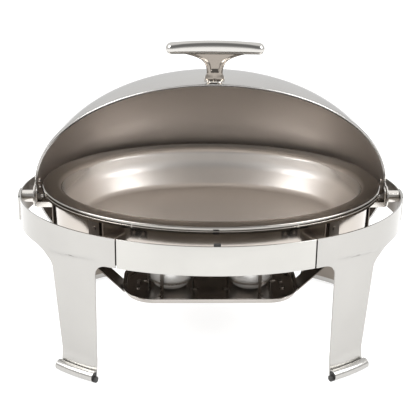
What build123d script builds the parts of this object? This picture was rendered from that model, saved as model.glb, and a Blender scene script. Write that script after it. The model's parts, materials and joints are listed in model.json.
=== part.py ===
"""Roll top chafer: an oval band on four legs, a domed lid that rolls back about two side pivots,
a water pan with a food pan in it, and a burner tray with two fuel cups.

Millimetres, +Z up, +X to the right, -Y to the front. The origin is on the floor under the middle
of the pivot axis. The lid is modelled open, as it stands at rest.
"""
import os
from math import cos, degrees, radians, sin, sqrt

from build123d import *

os.makedirs("parts", exist_ok=True)

# ---- driving dimensions ----
pivot_height = 230
sheet = 2                      # sheet of the band and the legs

band_a = 304                   # half length and half depth of the outer band
band_b = 222
band_top = pivot_height + 9
band_height = 46
band_bottom = band_top - band_height
seam_x = 145                   # the seams between the middle panels and the legs
seam_gap = 1.6
bumper_width = 10              # the rubber block at the front of the band

leg_inner_x = 177              # the leg's straight inner edge
leg_outer_top_x = 246          # the leg's outer edge, under the band and at the foot
leg_outer_foot_x = 233
foot_roll = 8.5                # outer radius of the rolled foot
foot_step = 0.3                # the roll sits this far outside the sheet
foot_clearance = 0.3           # under the roll, which the glide carries
glide_cap = 5                  # radius of the glide's end cap, which stands on the floor
glide_flat = 0.5               # the cap is flattened by this much where it stands

lid_a = 282                    # half length and radius of the domed lid
lid_radius = 203
lid_sheet = 1.2
lid_rim = 18                   # the closed rim stands this high over the pivot axis
lid_open = radians(70)
hem = 2.2
hem_height = 7

pin_radius = 3                 # pivot bolts
ear_face_x = 280.7             # inner face of the lid's pivot ears
ear_sheet = 2
ear_radius = 17
ear_width = 24
stop_radius = 12               # the stop pin's distance from the pivot, and its place round it
stop_angle = radians(55)
stop_pin_radius = 2

bracket_face_x = 278.9         # outer face of the pivot bracket's end plate
bracket_sheet = 2
bracket_width = 22
riser_x = 253                  # inner face of the bracket's riser

pan_sheet = 1.2
water_a = 250                  # outside of the water pan's wall
water_b = 174.5
water_rim_a = 267
water_rim_b = 190.5
water_top = pivot_height + 20
water_depth = 82
food_a = 238                   # outside of the food pan's wall
food_b = 165
food_rim_a = 267.5
food_rim_b = 191
food_top = pivot_height + 25.5
food_depth = 61
food_corner = 46               # where the food pan's wall rounds into its floor

ring_a = 258.5                 # the round bar ring that the water pan hangs in
ring_b = 182.5
ring_bar = 3
ring_z = water_top - pan_sheet - ring_bar

tray_length = 280
tray_width = 140
tray_corner = 48
tray_floor = pivot_height - 158.5
tray_depth = 10.5
strap_width = 42
strap_sheet = 1.5

burner_x = 65                  # the two burners, left and right of the middle
cage_radius = 39
cage_strip = 6
cage_sheet = 1.2
cage_ring_z = tray_floor + 19.5
cage_top_z = tray_floor + 52
cage_turn = 22                 # the first strip's angle from the front
cup_radius = 35
cup_corner = 22
cup_height = 62
cup_floor = tray_floor + pan_sheet
cup_top = cup_floor + cup_height
cover_pin_y = 41               # the cover's swivel pin, behind the cup's middle

handle_length = 147
handle_reach = 54              # from the lid's surface to the middle of the bar
handle_bar = 8.5
handle_angle = radians(80.7)   # up from the front, with the lid open
collar_radius = 15.5
collar_height = 3.5

pivot = Vector(0, 0, pivot_height)
pivot_axis = Axis(pivot, (1, 0, 0))
lid_up = Plane(origin=pivot, x_dir=(1, 0, 0), z_dir=(0, sin(lid_open), cos(lid_open)))
side_plane = Plane(origin=pivot, x_dir=(0, 1, 0), z_dir=(1, 0, 0))
front_plane = Plane(origin=pivot, x_dir=(1, 0, 0), z_dir=(0, -1, 0))


def save(piece, node):
    """Label one finished sub-part and write it under its node name."""
    piece.part.label = node
    export_step(piece.part, f"parts/{node}.step")


def mirrored(source, about=Plane.YZ):
    """A mirror copy of a finished sub-part."""
    with BuildPart() as copy:
        mirror(source.part, about=about)
    return copy


def save_pair(right_piece, node):
    """Write a right-hand sub-part and its left-hand mirror copy."""
    save(right_piece, f"right_{node}")
    save(mirrored(right_piece), f"left_{node}")


def oval_y(a, b, x):
    """Half depth of an oval at the place x along its length."""
    return b * sqrt(1 - (x / a) ** 2)


def oval_ring(outer_a, outer_b, wall):
    """An oval ring, drawn into the open sketch."""
    Ellipse(outer_a, outer_b)
    Ellipse(outer_a - wall, outer_b - wall, mode=Mode.SUBTRACT)


def oval_point(a, b, x, z, out=0.0):
    """A point on the front right quarter of an oval wall, moved outward by out."""
    y = -oval_y(a, b, x)
    normal = Vector(x / a**2, y / b**2, 0).normalized()
    return Vector(x, y, z) + normal * out


def oval_plane(a, b, x, z, out=0.0):
    """A plane on the front right quarter of an oval wall, facing out of the oval."""
    y = -oval_y(a, b, x)
    return Plane(origin=oval_point(a, b, x, z, out), z_dir=(x / a**2, y / b**2, 0))


def oval_strip(outer_a, outer_b, wall, x_from, x_to, z_from, z_to):
    """A curved strip of an oval wall at the front right, added to the open part."""
    with BuildSketch(Plane.XY.offset(z_from)) as strip:
        oval_ring(outer_a, outer_b, wall)
        with Locations(((x_from + x_to) / 2, -outer_b)):
            Rectangle(x_to - x_from, 2 * outer_b - 1, mode=Mode.INTERSECT)
    extrude(strip.sketch, amount=z_to - z_from)


def stud(plane, radius, length, mode=Mode.ADD):
    """A round stud standing on a plane, added to the open part."""
    with BuildSketch(plane) as section:
        Circle(radius)
    extrude(section.sketch, amount=length, mode=mode)


# ---- fasteners that other pieces are drilled for ----
seam_middle_z = band_bottom + band_height / 2
with BuildPart() as seam_screw_corner:
    for x in (seam_x - 9, seam_x + 9):
        for z in (seam_middle_z - 11, seam_middle_z + 11):
            stud(oval_plane(band_a - sheet, band_b - sheet, x, z, -3.5), 3, 1.9)
            stud(oval_plane(band_a - sheet, band_b - sheet, x, z, -1.6), 1.5, 3)
with BuildPart() as seam_screw_side:
    add(seam_screw_corner.part)
    mirror(seam_screw_corner.part, about=Plane.YZ)
with BuildPart() as seam_screws:
    add(seam_screw_side.part)
    mirror(seam_screw_side.part, about=Plane.XZ)
save(seam_screws, "seam_screws")

with BuildPart() as pivot_bolt:
    with BuildSketch(front_plane):
        with BuildLine():
            Polyline(
                (268, 0), (268, pin_radius), (303.6, pin_radius), (306.8, 6.2), (306.8, 0), close=True
            )
        make_face()
    revolve(axis=pivot_axis)
save_pair(pivot_bolt, "pivot_bolt")

bracket_tab_z = pivot_height - 30
support_x = (172, 188)
support_middle_x = sum(support_x) / 2
with BuildPart() as support_screw_side:
    tab_plane = oval_plane(band_a - sheet, band_b - sheet, support_middle_x, bracket_tab_z + 14, -3.4)
    stud(tab_plane, 3.5, 1.8)
    tab_plane = oval_plane(band_a - sheet, band_b - sheet, support_middle_x, bracket_tab_z + 14, -1.6)
    stud(tab_plane, 1.75, 3)
    riser_plane = oval_plane(ring_a - ring_bar, ring_b - ring_bar, support_middle_x, pivot_height - 3, -2.2)
    stud(riser_plane, 1.75, 2.4)
    riser_plane = oval_plane(ring_a - ring_bar, ring_b - ring_bar, support_middle_x, pivot_height - 3, 0.2)
    stud(riser_plane, 3.5, 2)
with BuildPart() as support_screws:
    add(support_screw_side.part)
    mirror(support_screw_side.part, about=Plane.YZ)
save(support_screws, "support_screws")

# ---- the oval band: two middle panels and four legs ----
with BuildPart() as front_panel:
    oval_strip(
        band_a, band_b, sheet,
        -seam_x + seam_gap / 2, seam_x - seam_gap / 2, band_bottom, band_top,
    )
    add(seam_screws.part, mode=Mode.SUBTRACT)
save(front_panel, "front_panel")

rear_panel = mirrored(front_panel, Plane.XZ)
save(rear_panel, "rear_panel")

foot_z = foot_roll + foot_clearance      # height of the middle of the rolled foot
foot_out = foot_roll - sheet + foot_step
foot_ends = (leg_inner_x + 1, (leg_inner_x + leg_outer_foot_x) / 2, leg_outer_foot_x)

with BuildPart() as front_right_leg:
    with BuildSketch(Plane.XZ) as outline:
        with BuildLine():
            Polyline(
                (seam_x + seam_gap / 2, band_top),
                (band_a + 5, band_top),
                (band_a + 5, band_bottom),
                (leg_outer_top_x, band_bottom),
                (leg_outer_foot_x, foot_z),
                (leg_inner_x + 1, foot_z),
                (leg_inner_x, band_bottom),
                (seam_x + seam_gap / 2, band_bottom),
                close=True,
            )
        make_face()
        inner_corner = outline.vertices().sort_by_distance((leg_inner_x, 0, band_bottom))[0]
        outer_corner = outline.vertices().sort_by_distance((leg_outer_top_x, 0, band_bottom))[0]
        fillet(inner_corner, 18)
        fillet(outer_corner, 30)
    extrude(amount=band_b + 5)
    with BuildSketch(Plane.XY):
        oval_ring(band_a, band_b, sheet)
        with Locations((0, band_b / 2)):
            Rectangle(3 * band_a, band_b + seam_gap / 2, mode=Mode.SUBTRACT)
    extrude(amount=band_top, mode=Mode.INTERSECT)
    # the rolled foot, curling outward from the sheet
    with BuildLine() as foot_line:
        ThreePointArc(*[oval_point(band_a, band_b, x, foot_z) for x in foot_ends])
    roll_plane = oval_plane(band_a, band_b, foot_ends[0], foot_z)
    roll_plane = Plane(origin=roll_plane.origin, x_dir=roll_plane.z_dir, z_dir=foot_line.line % 0)
    with BuildSketch(roll_plane):
        with Locations((foot_out, 0)):
            Circle(foot_roll)
            Circle(foot_roll - sheet, mode=Mode.SUBTRACT)
        upper_side = roll_plane.y_dir.Z * foot_roll
        with Locations((foot_out - 0.5 * foot_roll, upper_side)):
            Rectangle(1.6 * foot_roll, 2 * foot_roll, mode=Mode.SUBTRACT)
    sweep(path=foot_line.line)
    add(seam_screws.part, mode=Mode.SUBTRACT)
    add(support_screws.part, mode=Mode.SUBTRACT)
    add(pivot_bolt.part, mode=Mode.SUBTRACT)

front_left_leg = mirrored(front_right_leg)
save(front_right_leg, "front_right_leg")
save(front_left_leg, "front_left_leg")
save(mirrored(front_right_leg, Plane.XZ), "rear_right_leg")
save(mirrored(front_left_leg, Plane.XZ), "rear_left_leg")

with BuildLine() as glide_line:
    ThreePointArc(*[oval_point(band_a, band_b, x, foot_z, foot_out) for x in foot_ends])
glide_plane = Plane(origin=glide_line.line @ 0, z_dir=glide_line.line % 0)
cap_middle = glide_line.line @ 0 - Vector(0, 0, foot_z - glide_cap + glide_flat)

# the cap, low on the end of the glide's rod, and cut flat where it stands
with BuildPart() as end_cap:
    stud(Plane(origin=cap_middle, z_dir=glide_plane.z_dir), glide_cap, -5)
    fillet(end_cap.edges().filter_by(GeomType.CIRCLE).sort_by(Axis.X)[0], 1.2)
    split(bisect_by=Plane.XY, keep=Keep.TOP)

with BuildPart() as front_right_glide:
    with BuildSketch(glide_plane) as rod:
        Circle(foot_roll - sheet - 0.1)
    sweep(rod.sketch, path=glide_line.line)
    add(end_cap.part)

front_left_glide = mirrored(front_right_glide)
save(front_right_glide, "front_right_glide")
save(front_left_glide, "front_left_glide")
save(mirrored(front_right_glide, Plane.XZ), "rear_right_glide")
save(mirrored(front_left_glide, Plane.XZ), "rear_left_glide")

with BuildPart() as front_right_seam_plate:
    oval_strip(
        band_a - sheet, band_b - sheet, 1.6,
        seam_x - 16, seam_x + 16, band_bottom + 4, band_top - 4,
    )
    add(seam_screws.part, mode=Mode.SUBTRACT)

front_left_seam_plate = mirrored(front_right_seam_plate)
save(front_right_seam_plate, "front_right_seam_plate")
save(front_left_seam_plate, "front_left_seam_plate")
save(mirrored(front_right_seam_plate, Plane.XZ), "rear_right_seam_plate")
save(mirrored(front_left_seam_plate, Plane.XZ), "rear_left_seam_plate")

# ---- the pivots at the two ends ----
with BuildPart() as pivot_plate:
    with BuildSketch(side_plane.offset(band_a - 10)):
        with Locations((0, seam_middle_z - pivot_height)):
            RectangleRounded(36, band_height - 2, 5)
    extrude(amount=20)
    with BuildSketch(Plane.XY.offset(band_bottom)):
        oval_ring(band_a + 3, band_b + 3, 3)
    extrude(amount=band_height, mode=Mode.INTERSECT)
    add(pivot_bolt.part, mode=Mode.SUBTRACT)
save_pair(pivot_plate, "pivot_plate")

with BuildPart() as pivot_spacer:
    with BuildSketch(side_plane.offset(ear_face_x + ear_sheet + 0.2)):
        Circle(9.5)
        Circle(pin_radius, mode=Mode.SUBTRACT)
    extrude(amount=band_a - sheet - 0.3 - (ear_face_x + ear_sheet + 0.2))
    chamfer(pivot_spacer.edges().filter_by(GeomType.CIRCLE).sort_by(SortBy.RADIUS)[-2:], 0.6)
save_pair(pivot_spacer, "pivot_spacer")

with BuildPart() as washer_side:
    with BuildSketch(side_plane.offset(bracket_face_x)):
        Circle(6.5)
        Circle(pin_radius, mode=Mode.SUBTRACT)
    extrude(amount=ear_face_x - bracket_face_x - 0.15)
with BuildPart() as pivot_washers:
    add(washer_side.part)
    mirror(washer_side.part, about=Plane.YZ)
save(pivot_washers, "pivot_washers")

with BuildPart() as nut_side:
    with BuildSketch(side_plane.offset(bracket_face_x - bracket_sheet - 5)):
        RegularPolygon(5, 6, major_radius=False)
        Circle(pin_radius, mode=Mode.SUBTRACT)
    extrude(amount=5)
with BuildPart() as pivot_nuts:
    add(nut_side.part)
    mirror(nut_side.part, about=Plane.YZ)
save(pivot_nuts, "pivot_nuts")

stop_place = (stop_radius * cos(stop_angle), stop_radius * sin(stop_angle))
with BuildPart() as stop_pin:
    with BuildSketch(side_plane.offset(bracket_face_x - bracket_sheet)):
        with Locations(stop_place):
            Circle(stop_pin_radius)
    extrude(amount=7.6)
save_pair(stop_pin, "stop_pin")

strap_upright_x = riser_x - strap_sheet / 2
with BuildPart() as rivet_side:
    for y in (-7, 7):
        with BuildSketch(side_plane.offset(riser_x - strap_sheet)):
            with Locations((y, 0)):
                Circle(2)
        extrude(amount=strap_sheet + bracket_sheet)
        with BuildSketch(side_plane.offset(riser_x + bracket_sheet)):
            with Locations((y, 0)):
                Circle(3.6)
        extrude(amount=1.6)
with BuildPart() as strap_rivets:
    add(rivet_side.part)
    mirror(rivet_side.part, about=Plane.YZ)
save(strap_rivets, "strap_rivets")

with BuildPart() as pivot_bracket:
    # the end plate that carries the pivot bolt
    with BuildSketch(side_plane.offset(bracket_face_x - bracket_sheet)) as end_plate:
        with Locations((0, -0.5)):
            Rectangle(bracket_width, 29)
        fillet(end_plate.vertices().sort_by(Axis.Z)[-2:], 6)
    extrude(amount=bracket_sheet)
    # the channel that runs inward, open below, and its riser
    with BuildSketch(side_plane.offset(riser_x)):
        with Locations((0, -10.75)):
            Rectangle(bracket_width, 8.5)
        with Locations((0, -11.75)):
            Rectangle(bracket_width - 2 * 1.5, 6.5, mode=Mode.SUBTRACT)
    extrude(amount=bracket_face_x - bracket_sheet - riser_x)
    with BuildSketch(side_plane.offset(riser_x)):
        with Locations((0, -1.1)):
            Rectangle(bracket_width, 27.8)
    extrude(amount=bracket_sheet)
    # the seat under the pan ring
    with BuildSketch(Plane.XY.offset(ring_z - ring_bar - 1.5)):
        with Locations(((riser_x + 263) / 2, 0)):
            Rectangle(263 - riser_x, bracket_width)
    extrude(amount=1.5)
    add(pivot_bolt.part, mode=Mode.SUBTRACT)
    add(stop_pin.part, mode=Mode.SUBTRACT)
    add(strap_rivets.part, mode=Mode.SUBTRACT)
save_pair(pivot_bracket, "pivot_bracket")

# ---- the ring that carries the pans, and its front brackets ----
with BuildPart() as pan_ring:
    with BuildLine(Plane.XY.offset(ring_z)) as ring_line:
        EllipticalCenterArc((0, 0), ring_a, ring_b, start_angle=0, arc_size=180)
        mirror(about=Plane.XZ)
    with BuildSketch(Plane(origin=(ring_a, 0, ring_z), z_dir=(0, 1, 0))):
        Circle(ring_bar)
    sweep(path=ring_line.wires()[0])
save(pan_ring, "pan_ring")

with BuildPart() as support_bracket:
    x_from, x_to = support_x
    floor_z = bracket_tab_z
    oval_strip(band_a - sheet, band_b - sheet, 1.6, x_from, x_to, floor_z, floor_z + 22)
    with BuildSketch(Plane.XY.offset(floor_z)):
        Ellipse(band_a - sheet, band_b - sheet)
        Ellipse(ring_a - ring_bar - 1.6, ring_b - ring_bar - 1.6, mode=Mode.SUBTRACT)
        with Locations((support_middle_x, -band_b)):
            Rectangle(x_to - x_from, 2 * band_b - 1, mode=Mode.INTERSECT)
    extrude(amount=1.6)
    oval_strip(
        ring_a - ring_bar, ring_b - ring_bar, 1.6, x_from, x_to, floor_z, ring_z + ring_bar - 0.8
    )
    add(support_screws.part, mode=Mode.SUBTRACT)
save_pair(support_bracket, "support_bracket")

with BuildPart() as band_bumper:
    # a small block of rubber on the inside of the band
    oval_strip(
        band_a - sheet, band_b - sheet, 5, -bumper_width / 2, bumper_width / 2, band_top - 9, band_top + 3
    )
    fillet(band_bumper.edges().group_by(Axis.Z)[-1].sort_by(Axis.Y)[-1], 1.5)
save(band_bumper, "band_bumper")

# ---- the burner tray on its two straps ----
screw_places = [(sx * 118, sy * 12) for sx in (-1, 1) for sy in (-1, 1)]
with BuildPart() as tray_screws:
    with BuildSketch(Plane.XY.offset(tray_floor + pan_sheet)):
        with Locations(*screw_places):
            Circle(3.6)
    extrude(amount=2.4)
    with BuildSketch(Plane.XY.offset(tray_floor + pan_sheet)):
        with Locations(*screw_places):
            Circle(2)
    extrude(amount=-7)
save(tray_screws, "tray_screws")

with BuildPart() as tray_nuts:
    with BuildSketch(Plane.XY.offset(tray_floor - strap_sheet)):
        with Locations(*screw_places):
            RegularPolygon(3.5, 6, major_radius=False)
            Circle(2, mode=Mode.SUBTRACT)
    extrude(amount=-3.2)
save(tray_nuts, "tray_nuts")

foot_angles = [cage_turn + 90 * n for n in range(4)]
cage_foot = 8
strip_radius = cage_radius - 0.9         # the strips are let into the rings
cage_foot_middle = strip_radius + cage_sheet + cage_foot / 2
with BuildPart() as cage_rivet_side:
    for angle in foot_angles:
        foot_x = burner_x + cage_foot_middle * sin(radians(angle))
        foot_y = -cage_foot_middle * cos(radians(angle))
        with BuildSketch(Plane.XY.offset(tray_floor)):
            with Locations((foot_x, foot_y)):
                Circle(1.25)
        extrude(amount=pan_sheet + cage_sheet)
        with BuildSketch(Plane.XY.offset(tray_floor + pan_sheet + cage_sheet)):
            with Locations((foot_x, foot_y)):
                Circle(2.2)
        extrude(amount=1.1)
with BuildPart() as cage_rivets:
    add(cage_rivet_side.part)
    mirror(cage_rivet_side.part, about=Plane.YZ)
save(cage_rivets, "cage_rivets")

with BuildPart() as tray_hollow:
    with BuildSketch(Plane.XY.offset(tray_floor + pan_sheet)):
        RectangleRounded(
            tray_length - 2 * pan_sheet, tray_width - 2 * pan_sheet, tray_corner - pan_sheet
        )
    extrude(amount=tray_depth)
    fillet(tray_hollow.edges().group_by(Axis.Z)[0], 5 - pan_sheet)

with BuildPart() as burner_tray:
    with BuildSketch(Plane.XY.offset(tray_floor)):
        RectangleRounded(tray_length, tray_width, tray_corner)
    extrude(amount=tray_depth)
    fillet(burner_tray.edges().group_by(Axis.Z)[0], 5)
    lip_z = tray_floor + tray_depth
    with BuildSketch(Plane.XY.offset(lip_z - pan_sheet)):
        RectangleRounded(tray_length + 6, tray_width + 6, tray_corner + 3)
    extrude(amount=pan_sheet)
    add(tray_hollow.part, mode=Mode.SUBTRACT)
    add(tray_screws.part, mode=Mode.SUBTRACT)
    add(cage_rivets.part, mode=Mode.SUBTRACT)
save(burner_tray, "burner_tray")

with BuildPart() as tray_strap:
    strap_z = tray_floor - strap_sheet / 2
    bend_x = tray_length / 2 + 2
    with BuildSketch(Plane.XZ.offset(-strap_width / 2)):
        with BuildLine():
            Polyline(
                (strap_upright_x, pivot_height + 8),
                (strap_upright_x, strap_z + strap_upright_x - bend_x),
                (bend_x, strap_z),
                (100, strap_z),
            )
        trace(line_width=strap_sheet)
    extrude(amount=strap_width)
    add(strap_rivets.part, mode=Mode.SUBTRACT)
    add(tray_screws.part, mode=Mode.SUBTRACT)
save_pair(tray_strap, "tray_strap")

# ---- the burner cages, the fuel cups and their covers ----
burner = Plane(origin=(burner_x, 0, 0))
with BuildPart() as burner_cage:
    for z in (cage_ring_z, cage_top_z):
        with BuildSketch(burner.offset(z - 1.5)):
            Circle(cage_radius)
            Circle(cage_radius - 1.4, mode=Mode.SUBTRACT)
        extrude(amount=3)
    strip_bottom = tray_floor + pan_sheet
    for angle in foot_angles:
        strip_side = Plane(origin=(burner_x, 0, strip_bottom)).rotated((0, 0, angle))
        with BuildSketch(strip_side):
            with Locations((0, -strip_radius - cage_sheet / 2)):
                Rectangle(cage_strip, cage_sheet)
        extrude(amount=cage_top_z + 1.5 - strip_bottom)
        with BuildSketch(strip_side):
            with Locations((0, -strip_radius - (cage_sheet + cage_foot) / 2)):
                Rectangle(cage_strip, cage_sheet + cage_foot)
        extrude(amount=cage_sheet)
    add(cage_rivets.part, mode=Mode.SUBTRACT)
save_pair(burner_cage, "burner_cage")

with BuildPart() as cover_pin:
    stud(Plane(origin=(burner_x, cover_pin_y, cup_top - 1.5)), 1.5, 4.3)
    stud(Plane(origin=(burner_x, cover_pin_y, cup_top + 1.9)), 2.6, 1)
save_pair(cover_pin, "cover_pin")

with BuildPart() as fuel_cup:
    with BuildSketch(Plane(origin=(burner_x, 0, cup_floor), x_dir=(1, 0, 0), z_dir=(0, -1, 0))):
        for inset in (0, 1):
            radius = cup_radius - inset
            corner = cup_corner - inset
            bend = corner * sin(radians(45))
            with BuildLine():
                Polyline((0, cup_height), (0, inset), (radius - corner, inset))
                ThreePointArc(
                    (radius - corner, inset),
                    (radius - corner + bend, inset + corner - bend),
                    (radius, inset + corner),
                )
                Polyline((radius, inset + corner), (radius, cup_height), (0, cup_height))
            make_face(mode=Mode.SUBTRACT if inset else Mode.ADD)
    revolve(axis=Axis((burner_x, 0, 0), (0, 0, 1)))
    # the lug at the back for the cover's pin
    with BuildSketch(Plane.XY.offset(cup_top - 1.5)):
        with Locations((burner_x, (cup_radius + cover_pin_y) / 2 + 1)):
            Rectangle(9, cover_pin_y - cup_radius + 4)
    extrude(amount=1.5)
    add(cover_pin.part, mode=Mode.SUBTRACT)
save_pair(fuel_cup, "fuel_cup")

with BuildPart() as snuffer_cover:
    with BuildSketch(Plane.XY.offset(cup_top + 0.3)):
        with Locations((burner_x, 0)):
            Circle(cup_radius + 0.5)
        with Locations((burner_x, cover_pin_y / 2)):
            Rectangle(9, cover_pin_y)
        with Locations((burner_x, cover_pin_y)):
            Circle(4.5)
            Circle(1.56, mode=Mode.SUBTRACT)
    extrude(amount=1.2)
    # the finger tab at the front, turned up
    with BuildSketch(Plane.XY.offset(cup_top + 0.3)):
        with Locations((burner_x, -cup_radius)):
            Rectangle(12, 3)
    extrude(amount=7)
save_pair(snuffer_cover, "snuffer_cover")


# ---- the pans ----
def oval_pan(wall_a, wall_b, rim_a, rim_b, top, depth, rim_drop, corner):
    """A deep oval pan of thin sheet, with a flat flange turned down at its edge."""
    with BuildPart() as hollow:
        with BuildSketch(Plane.XY.offset(top)) as section:
            Ellipse(wall_a - pan_sheet, wall_b - pan_sheet)
        extrude(section.sketch, amount=pan_sheet - depth)
        fillet(hollow.edges().group_by(Axis.Z)[0], corner - pan_sheet)
    with BuildPart() as pan:
        with BuildSketch(Plane.XY.offset(top)) as section:
            Ellipse(wall_a, wall_b)
        extrude(section.sketch, amount=-depth)
        fillet(pan.edges().group_by(Axis.Z)[0], corner)
        with BuildSketch(Plane.XY.offset(top)) as section:
            Ellipse(rim_a, rim_b)
        extrude(section.sketch, amount=-pan_sheet)
        with BuildSketch(Plane.XY.offset(top)) as section:
            oval_ring(rim_a, rim_b, 2)
        extrude(section.sketch, amount=-rim_drop)
        add(hollow.part, mode=Mode.SUBTRACT)
    return pan


water_pan = oval_pan(water_a, water_b, water_rim_a, water_rim_b, water_top, water_depth, 5.5, 28)
save(water_pan, "water_pan")

food_pan = oval_pan(
    food_a, food_b, food_rim_a, food_rim_b, food_top, food_depth, food_top - water_top, food_corner
)
save(food_pan, "food_pan")


# ---- the lid ----
def lid_dome(out):
    """The whole oval dome as a solid, grown outward by out."""
    with BuildPart() as dome:
        with BuildSketch(lid_up) as section:
            Ellipse(lid_a + out, lid_radius + out)
            with Locations((0, -lid_radius)):
                Rectangle(3 * lid_a, 2 * lid_radius, mode=Mode.SUBTRACT)
        revolve(section.sketch, axis=pivot_axis)
    return dome


handle_out = Vector(0, -cos(handle_angle), sin(handle_angle))
handle_foot = pivot + handle_out * lid_radius
handle_up = Plane(origin=handle_foot, x_dir=(1, 0, 0), z_dir=handle_out)
handle_front = Plane(origin=handle_foot, x_dir=(1, 0, 0), z_dir=-handle_up.y_dir)

with BuildPart() as handle_screw:
    stud(handle_up.offset(-3), pin_radius, 19)
    stud(handle_up.offset(-3), 5.5, -3.5)
save(handle_screw, "handle_screw")

with BuildPart() as handle_washer:
    stud(handle_up.offset(-1.5), 9, -1.5)
    add(handle_screw.part, mode=Mode.SUBTRACT)
save(handle_washer, "handle_washer")

with BuildPart() as right_rivet:
    for y in (-6, 6):
        rivet_plane = Plane(origin=pivot, x_dir=lid_up.y_dir, z_dir=(1, 0, 0))
        for start, radius, length in ((275.6, 3.4, 7), (275.6, 2, 7)):
            with BuildSketch(rivet_plane.offset(start)) as section:
                with Locations((y, 32)):
                    Circle(radius)
            extrude(section.sketch, amount=length)

with BuildPart() as rivet_holes:
    for y in (-6, 6):
        with BuildSketch(rivet_plane.offset(270)) as section:
            with Locations((y, 32)):
                Circle(2)
        extrude(section.sketch, amount=16)

outer_dome = lid_dome(0)
inner_dome = lid_dome(-lid_sheet)
ear_dome = lid_dome(ear_sheet)
slot_half = stop_pin_radius + 0.3
slot_start = degrees(stop_angle) - 1
slot_sweep = degrees(lid_open) + 2
rim_share = sqrt(1 - (lid_rim / lid_radius) ** 2)
rim_a = lid_a * rim_share
rim_b = lid_radius * rim_share

with BuildPart() as right_lid_ear:
    # the tongue that lies on the dome
    add(ear_dome.part)
    add(outer_dome.part, mode=Mode.SUBTRACT)
    with BuildSketch(lid_up.offset(lid_rim)):
        with Locations((lid_a, 0)):
            Rectangle(40, ear_width)
    extrude(amount=26, mode=Mode.INTERSECT)
    # the flat plate that turns on the pivot bolt, with the slot for the stop pin
    with BuildSketch(rivet_plane.offset(ear_face_x)):
        Circle(ear_radius)
        with Locations((0, (lid_rim + 2) / 2)):
            Rectangle(ear_width, lid_rim + 2)
        Circle(pin_radius + 0.06, mode=Mode.SUBTRACT)
        with BuildLine():
            slot_outer = CenterArc((0, 0), stop_radius + slot_half, slot_start, slot_sweep)
            slot_inner = CenterArc((0, 0), stop_radius - slot_half, slot_start, slot_sweep)
            Line(slot_outer @ 0, slot_inner @ 0)
            Line(slot_outer @ 1, slot_inner @ 1)
        make_face(mode=Mode.SUBTRACT)
        with PolarLocations(stop_radius, 2, slot_start, slot_sweep, endpoint=True):
            Circle(slot_half, mode=Mode.SUBTRACT)
    extrude(amount=ear_sheet)
    add(rivet_holes.part, mode=Mode.SUBTRACT)
save_pair(right_lid_ear, "lid_ear")
left_lid_ear = mirrored(right_lid_ear)
left_holes = mirrored(rivet_holes)

with BuildPart() as lid_shell:
    add(outer_dome.part)
    with BuildSketch(lid_up.offset(lid_rim)):
        Ellipse(rim_a + hem, rim_b + hem)
        Ellipse(rim_a - 1.6, rim_b - 1.3, mode=Mode.SUBTRACT)
        Rectangle(3 * lid_a, ear_width + 6, mode=Mode.SUBTRACT)
    extrude(amount=hem_height)
    add(inner_dome.part, mode=Mode.SUBTRACT)
    split(bisect_by=lid_up.offset(lid_rim), keep=Keep.TOP)
    add(rivet_holes.part, mode=Mode.SUBTRACT)
    add(left_holes.part, mode=Mode.SUBTRACT)
    add(handle_screw.part, mode=Mode.SUBTRACT)
save(lid_shell, "lid_shell")

with BuildPart() as rivet_side:
    add(right_rivet.part)
    add(right_lid_ear.part, mode=Mode.SUBTRACT)
    add(lid_shell.part, mode=Mode.SUBTRACT)
with BuildPart() as lid_ear_rivets:
    add(rivet_side.part)
    mirror(rivet_side.part, about=Plane.YZ)
save(lid_ear_rivets, "lid_ear_rivets")

with BuildPart() as handle_collar:
    stud(handle_up.offset(-1.5), collar_radius, collar_height + 1.5)
    add(outer_dome.part, mode=Mode.SUBTRACT)
    add(lid_shell.part, mode=Mode.SUBTRACT)
    add(handle_screw.part, mode=Mode.SUBTRACT)
save(handle_collar, "handle_collar")

with BuildPart() as lid_handle:
    # the foot and its two flanks, which sweep out under the bar
    with BuildSketch(handle_front):
        with BuildLine():
            half = ((14, collar_height), (12.5, 18), (18, 34), (46, handle_reach - 7))
            Polyline((half[3][0], handle_reach), half[3])
            ThreePointArc(half[3], half[2], half[1])
            Polyline(half[1], half[0], (0, half[0][1]))
            Polyline((0, half[0][1]), (0, handle_reach), (half[3][0], handle_reach))
        make_face()
        mirror(about=Plane.YZ)
    extrude(amount=7, both=True)
    # the bar
    with BuildSketch(handle_front):
        with Locations((0, handle_reach)):
            SlotOverall(handle_length, 2 * handle_bar)
            with Locations((0, -handle_bar)):
                Rectangle(handle_length + 2, 2 * handle_bar, mode=Mode.SUBTRACT)
    revolve(axis=Axis(handle_foot + handle_out * handle_reach, (1, 0, 0)))
    add(handle_screw.part, mode=Mode.SUBTRACT)
save(lid_handle, "lid_handle")
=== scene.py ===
"""The look of a roll top chafer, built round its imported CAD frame.

Metres, +Z up, +X to the right, -Y to the front. The large polished pieces are rebuilt as fine
meshes at the places the frame gives; the small hardware keeps its CAD mesh with a new material.
"""

import json
from math import acos, atan2, cos, hypot, pi, radians, sin, sqrt

import bpy
import numpy as np
from mathutils import Matrix, Vector
from mathutils.geometry import delaunay_2d_cdt


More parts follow.
